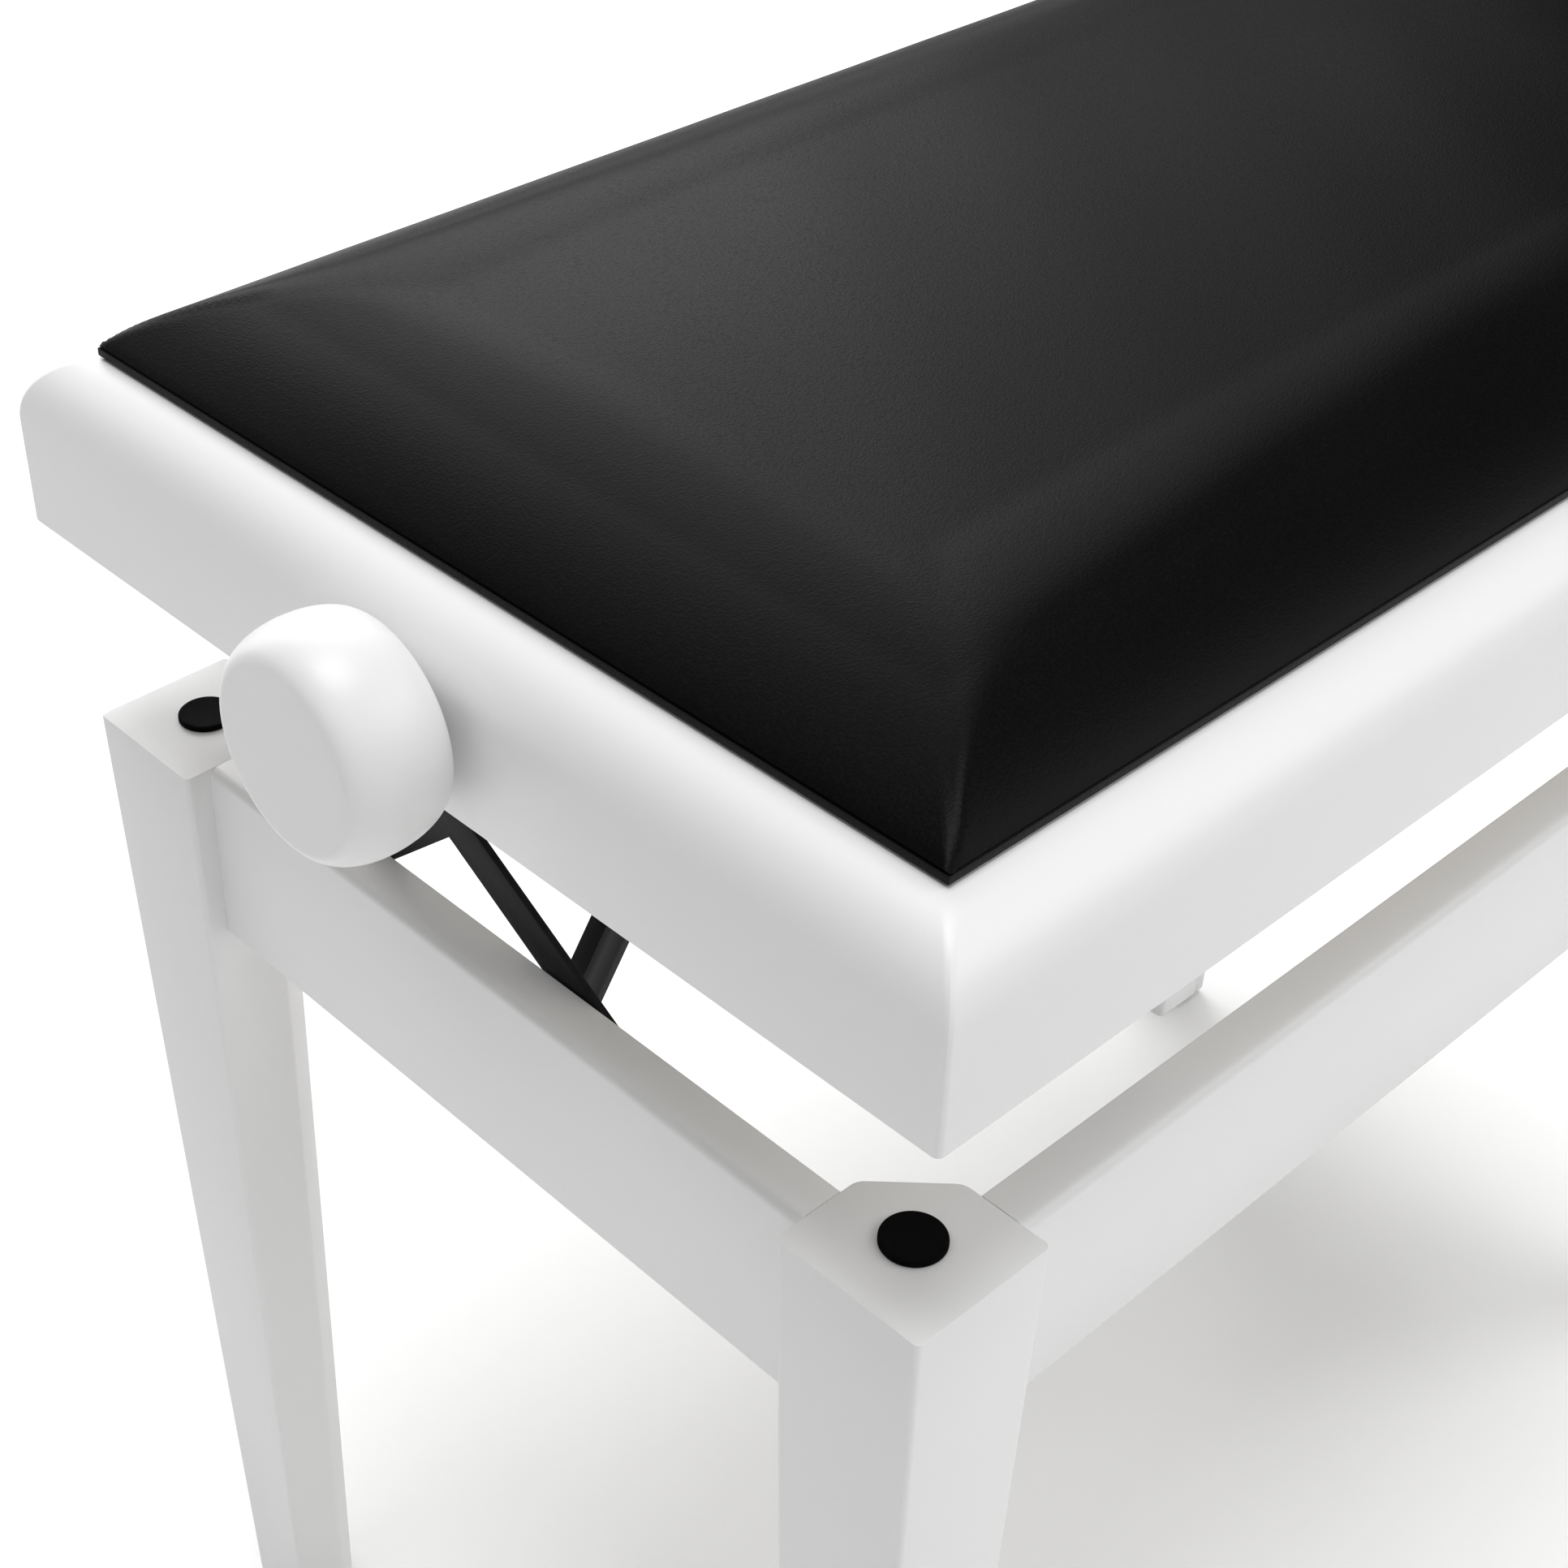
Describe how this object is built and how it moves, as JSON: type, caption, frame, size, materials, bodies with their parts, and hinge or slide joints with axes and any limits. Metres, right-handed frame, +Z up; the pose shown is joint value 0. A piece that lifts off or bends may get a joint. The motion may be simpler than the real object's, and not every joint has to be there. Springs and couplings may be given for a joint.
{
  "type": "piano bench",
  "caption": "Height-adjustable piano bench with padded black seat, white tapered legs, steel lift linkages under the seat and a turning knob at each end.",
  "frame": {"origin": "on the floor under the middle of the bench", "axes": "+X along the long side, +Y from front to back, +Z up"},
  "size_m": [0.623, 0.33, 0.5409],
  "materials": {
    "lacquer": "white satin lacquer on beech",
    "leatherette": "black leatherette with a fine grain over foam",
    "plywood": "bare birch plywood",
    "black_steel": "black powder coat",
    "zinc_steel": "zinc plated",
    "rubber": "black rubber",
    "glide_plastic": "grey nylon"
  },
  "bodies": {
    "base": {"leg_front_left": "lacquer", "bumper_front_left": "rubber", "glide_front_left": "glide_plastic", "leg_back_left": "lacquer", "bumper_back_left": "rubber", "glide_back_left": "glide_plastic", "leg_front_right": "lacquer", "bumper_front_right": "rubber", "glide_front_right": "glide_plastic", "leg_back_right": "lacquer", "bumper_back_right": "rubber", "glide_back_right": "glide_plastic", "rail_front": "lacquer", "rail_back": "lacquer", "rail_left": "lacquer", "lower_bracket_left": "black_steel", "lower_pin_left": "zinc_steel", "guide_strap_left": "black_steel", "rail_right": "lacquer", "lower_bracket_right": "black_steel", "lower_pin_right": "zinc_steel", "guide_strap_right": "black_steel"},
    "left_lift_arm": {"lift_arm_left": "black_steel", "centre_pin_left": "zinc_steel"},
    "left_brace_arms": {"brace_arm_left_front": "black_steel", "brace_arm_left_back": "black_steel"},
    "left_nut": {"nut_left": "black_steel", "nut_pin_left": "zinc_steel"},
    "right_lift_arm": {"lift_arm_right": "black_steel", "centre_pin_right": "zinc_steel"},
    "right_brace_arms": {"brace_arm_right_front": "black_steel", "brace_arm_right_back": "black_steel"},
    "right_nut": {"nut_right": "black_steel", "nut_pin_right": "zinc_steel"},
    "seat": {"seat_board_front": "lacquer", "seat_board_back": "lacquer", "seat_board_left": "lacquer", "seat_board_right": "lacquer", "seat_panel": "plywood", "cushion": "leatherette", "guide_post_front_left": "lacquer", "guide_post_back_left": "lacquer", "upper_bracket_left": "black_steel", "upper_pin_left": "zinc_steel", "spindle_bush_left": "black_steel", "guide_post_front_right": "lacquer", "guide_post_back_right": "lacquer", "upper_bracket_right": "black_steel", "upper_pin_right": "zinc_steel", "spindle_bush_right": "black_steel"},
    "spindle": {"spindle": "zinc_steel", "knob_left": "lacquer", "knob_right": "lacquer"}
  },
  "joints": [
    {"name": "left_lift", "type": "hinge", "parent": "base", "child": "left_lift_arm", "pos_m": [-0.2395, 0, 0.3558], "axis": [0, -1, 0], "range_deg": [-31.2, 8.5]},
    {"name": "left_brace", "type": "hinge", "parent": "left_lift_arm", "child": "left_brace_arms", "pos_m": [-0.19835, 0, 0.4167], "axis": [0, -1, 0], "range_deg": [-17, 62.4]},
    {"name": "seat_level", "type": "hinge", "parent": "left_brace_arms", "child": "seat", "pos_m": [-0.2395, 0, 0.4776], "axis": [0, -1, 0], "range_deg": [-31.2, 8.5]},
    {"name": "left_nut_pivot", "type": "hinge", "parent": "left_lift_arm", "child": "left_nut", "pos_m": [-0.1572, 0, 0.4776], "axis": [0, -1, 0], "range_deg": [-8.5, 31.2]},
    {"name": "right_lift", "type": "hinge", "parent": "base", "child": "right_lift_arm", "pos_m": [0.2395, 0, 0.3558], "axis": [0, 1, 0], "range_deg": [-31.2, 8.5]},
    {"name": "right_brace", "type": "hinge", "parent": "right_lift_arm", "child": "right_brace_arms", "pos_m": [0.19835, 0, 0.4167], "axis": [0, 1, 0], "range_deg": [-17, 62.4]},
    {"name": "right_nut_pivot", "type": "hinge", "parent": "right_lift_arm", "child": "right_nut", "pos_m": [0.1572, 0, 0.4776], "axis": [0, 1, 0], "range_deg": [-8.5, 31.2]},
    {"name": "spindle_turn", "type": "hinge", "parent": "seat", "child": "spindle", "pos_m": [0, 0, 0.4882], "axis": [1, 0, 0], "range_deg": [-4992, 1360]}
  ],
  "couplings": [
    {"joint": "left_brace", "follows": "left_lift", "ratio": -2},
    {"joint": "seat_level", "follows": "left_lift", "ratio": 1},
    {"joint": "left_nut_pivot", "follows": "left_lift", "ratio": -1},
    {"joint": "right_lift", "follows": "left_lift", "ratio": 1},
    {"joint": "right_brace", "follows": "left_lift", "ratio": -2},
    {"joint": "right_nut_pivot", "follows": "left_lift", "ratio": -1},
    {"joint": "spindle_turn", "follows": "left_lift", "ratio": 160}
  ]
}
